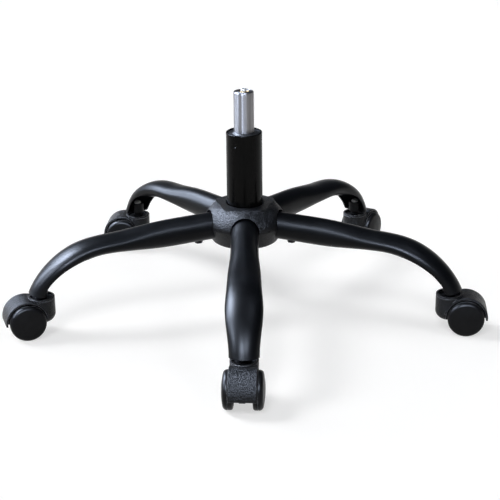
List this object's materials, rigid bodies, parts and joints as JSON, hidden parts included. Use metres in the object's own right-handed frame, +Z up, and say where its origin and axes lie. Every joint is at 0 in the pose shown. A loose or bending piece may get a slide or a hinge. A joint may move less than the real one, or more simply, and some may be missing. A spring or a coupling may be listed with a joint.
{
  "type": "swivel chair base",
  "caption": "Star-shaped swivel chair base with bent black steel legs, moulded hub cover, gas-lift column with release pin, and hooded twin-wheel casters that swivel and roll.",
  "frame": {"origin": "on the floor, under the axis of the gas-lift column", "axes": "+Z up along the column, -Y along the front leg"},
  "size_m": [0.6678, 0.6384, 0.3201],
  "materials": {
    "leg_coat": "satin black powder coat on formed steel",
    "column_paint": "gloss black paint on steel tube",
    "cover_plastic": "spark-grained black moulding",
    "hood_plastic": "spark-grained black moulding",
    "wheel_plastic": "smooth satin black nylon",
    "cylinder_steel": "ground bare steel",
    "rod_steel": "ground bare steel",
    "zinc_steel": "bright zinc plate",
    "stem_steel": "dark phosphate with a bright machined tip",
    "black_steel": "blackened steel",
    "bearing_steel": "polished bearing steel",
    "bush_plastic": "black acetal",
    "rubber": "black rubber",
    "valve_brass": "machined brass",
    "piston_alloy": "machined aluminium"
  },
  "bodies": {
    "base": {"column_tube": "column_paint", "guide_bush": "bush_plastic", "bearing_race_lower": "bearing_steel", "hub_socket": "leg_coat", "hub_cover_upper": "cover_plastic", "hub_cover_lower": "cover_plastic", "leg_bolts": "black_steel", "stem_grip_rings": "zinc_steel", "leg_front": "leg_coat", "caster_socket_front": "leg_coat", "caster_stem_front": "stem_steel", "leg_front_right": "leg_coat", "caster_socket_front_right": "leg_coat", "caster_stem_front_right": "stem_steel", "leg_rear_right": "leg_coat", "caster_socket_rear_right": "leg_coat", "caster_stem_rear_right": "stem_steel", "leg_rear_left": "leg_coat", "caster_socket_rear_left": "leg_coat", "caster_stem_rear_left": "stem_steel", "leg_front_left": "leg_coat", "caster_socket_front_left": "leg_coat", "caster_stem_front_left": "stem_steel"},
    "spindle": {"piston_rod": "rod_steel", "piston": "piston_alloy", "bearing_race_upper": "bearing_steel", "bumper": "rubber", "retaining_clip": "zinc_steel"},
    "bearing_cage_ring": {"bearing_cage": "bush_plastic", "bearing_balls": "bearing_steel"},
    "lift": {"gas_cylinder": "cylinder_steel", "rod_seal": "rubber", "valve_body": "valve_brass"},
    "release": {"release_pin": "zinc_steel"},
    "caster_front": {"caster_hood_front": "hood_plastic", "caster_axle_front": "zinc_steel"},
    "wheel_left_front": {"caster_wheel_left_front": "wheel_plastic"},
    "wheel_right_front": {"caster_wheel_right_front": "wheel_plastic"},
    "caster_front_right": {"caster_hood_front_right": "hood_plastic", "caster_axle_front_right": "zinc_steel"},
    "wheel_left_front_right": {"caster_wheel_left_front_right": "wheel_plastic"},
    "wheel_right_front_right": {"caster_wheel_right_front_right": "wheel_plastic"},
    "caster_rear_right": {"caster_hood_rear_right": "hood_plastic", "caster_axle_rear_right": "zinc_steel"},
    "wheel_left_rear_right": {"caster_wheel_left_rear_right": "wheel_plastic"},
    "wheel_right_rear_right": {"caster_wheel_right_rear_right": "wheel_plastic"},
    "caster_rear_left": {"caster_hood_rear_left": "hood_plastic", "caster_axle_rear_left": "zinc_steel"},
    "wheel_left_rear_left": {"caster_wheel_left_rear_left": "wheel_plastic"},
    "wheel_right_rear_left": {"caster_wheel_right_rear_left": "wheel_plastic"},
    "caster_front_left": {"caster_hood_front_left": "hood_plastic", "caster_axle_front_left": "zinc_steel"},
    "wheel_left_front_left": {"caster_wheel_left_front_left": "wheel_plastic"},
    "wheel_right_front_left": {"caster_wheel_right_front_left": "wheel_plastic"}
  },
  "joints": [
    {"name": "seat_swivel", "type": "hinge", "parent": "base", "child": "spindle", "pos_m": [0, 0, 0.1], "axis": [0, 0, 1], "continuous": true},
    {"name": "bearing_cage_turn", "type": "hinge", "parent": "base", "child": "bearing_cage_ring", "pos_m": [0, 0, 0.1], "axis": [0, 0, 1], "continuous": true},
    {"name": "lift_slide", "type": "slide", "parent": "spindle", "child": "lift", "axis": [0, 0, 1], "range_m": [0, 0.08]},
    {"name": "release_press", "type": "slide", "parent": "lift", "child": "release", "axis": [0, 0, 1], "range_m": [-0.003, 0], "stiffness_N_per_m": 2000, "springref_m": 0.001},
    {"name": "caster_swivel_front", "type": "hinge", "parent": "base", "child": "caster_front", "pos_m": [0, -0.2935, 0.055], "axis": [0, 0, 1], "continuous": true},
    {"name": "wheel_roll_left_front", "type": "hinge", "parent": "caster_front", "child": "wheel_left_front", "pos_m": [-0.0012, -0.31647, 0.025], "axis": [0.9986, -0.0523, 0], "continuous": true},
    {"name": "wheel_roll_right_front", "type": "hinge", "parent": "caster_front", "child": "wheel_right_front", "pos_m": [-0.0012, -0.31647, 0.025], "axis": [0.9986, -0.0523, 0], "continuous": true},
    {"name": "caster_swivel_front_right", "type": "hinge", "parent": "base", "child": "caster_front_right", "pos_m": [0.27914, -0.0907, 0.055], "axis": [0, 0, 1], "continuous": true},
    {"name": "wheel_roll_left_front_right", "type": "hinge", "parent": "caster_front_right", "child": "wheel_left_front_right", "pos_m": [0.30205, -0.0927, 0.025], "axis": [0.0872, 0.9962, 0], "continuous": true},
    {"name": "wheel_roll_right_front_right", "type": "hinge", "parent": "caster_front_right", "child": "wheel_right_front_right", "pos_m": [0.30205, -0.0927, 0.025], "axis": [0.0872, 0.9962, 0], "continuous": true},
    {"name": "caster_swivel_rear_right", "type": "hinge", "parent": "base", "child": "caster_rear_right", "pos_m": [0.17252, 0.23745, 0.055], "axis": [0, 0, 1], "continuous": true},
    {"name": "wheel_roll_left_rear_right", "type": "hinge", "parent": "caster_rear_right", "child": "wheel_left_rear_right", "pos_m": [0.1847, 0.25695, 0.025], "axis": [-0.848, 0.5299, 0], "continuous": true},
    {"name": "wheel_roll_right_rear_right", "type": "hinge", "parent": "caster_rear_right", "child": "wheel_right_rear_right", "pos_m": [0.1847, 0.25695, 0.025], "axis": [-0.848, 0.5299, 0], "continuous": true},
    {"name": "caster_swivel_rear_left", "type": "hinge", "parent": "base", "child": "caster_rear_left", "pos_m": [-0.17252, 0.23745, 0.055], "axis": [0, 0, 1], "continuous": true},
    {"name": "wheel_roll_left_rear_left", "type": "hinge", "parent": "caster_rear_left", "child": "wheel_left_rear_left", "pos_m": [-0.19546, 0.23905, 0.025], "axis": [-0.0698, -0.9976, 0], "continuous": true},
    {"name": "wheel_roll_right_rear_left", "type": "hinge", "parent": "caster_rear_left", "child": "wheel_right_rear_left", "pos_m": [-0.19546, 0.23905, 0.025], "axis": [-0.0698, -0.9976, 0], "continuous": true},
    {"name": "caster_swivel_front_left", "type": "hinge", "parent": "base", "child": "caster_front_left", "pos_m": [-0.27914, -0.0907, 0.055], "axis": [0, 0, 1], "continuous": true},
    {"name": "wheel_roll_left_front_left", "type": "hinge", "parent": "caster_front_left", "child": "wheel_left_front_left", "pos_m": [-0.30088, -0.09818, 0.025], "axis": [0.3256, -0.9455, 0], "continuous": true},
    {"name": "wheel_roll_right_front_left", "type": "hinge", "parent": "caster_front_left", "child": "wheel_right_front_left", "pos_m": [-0.30088, -0.09818, 0.025], "axis": [0.3256, -0.9455, 0], "continuous": true}
  ],
  "couplings": [
    {"joint": "bearing_cage_turn", "follows": "seat_swivel", "ratio": 0.5}
  ]
}
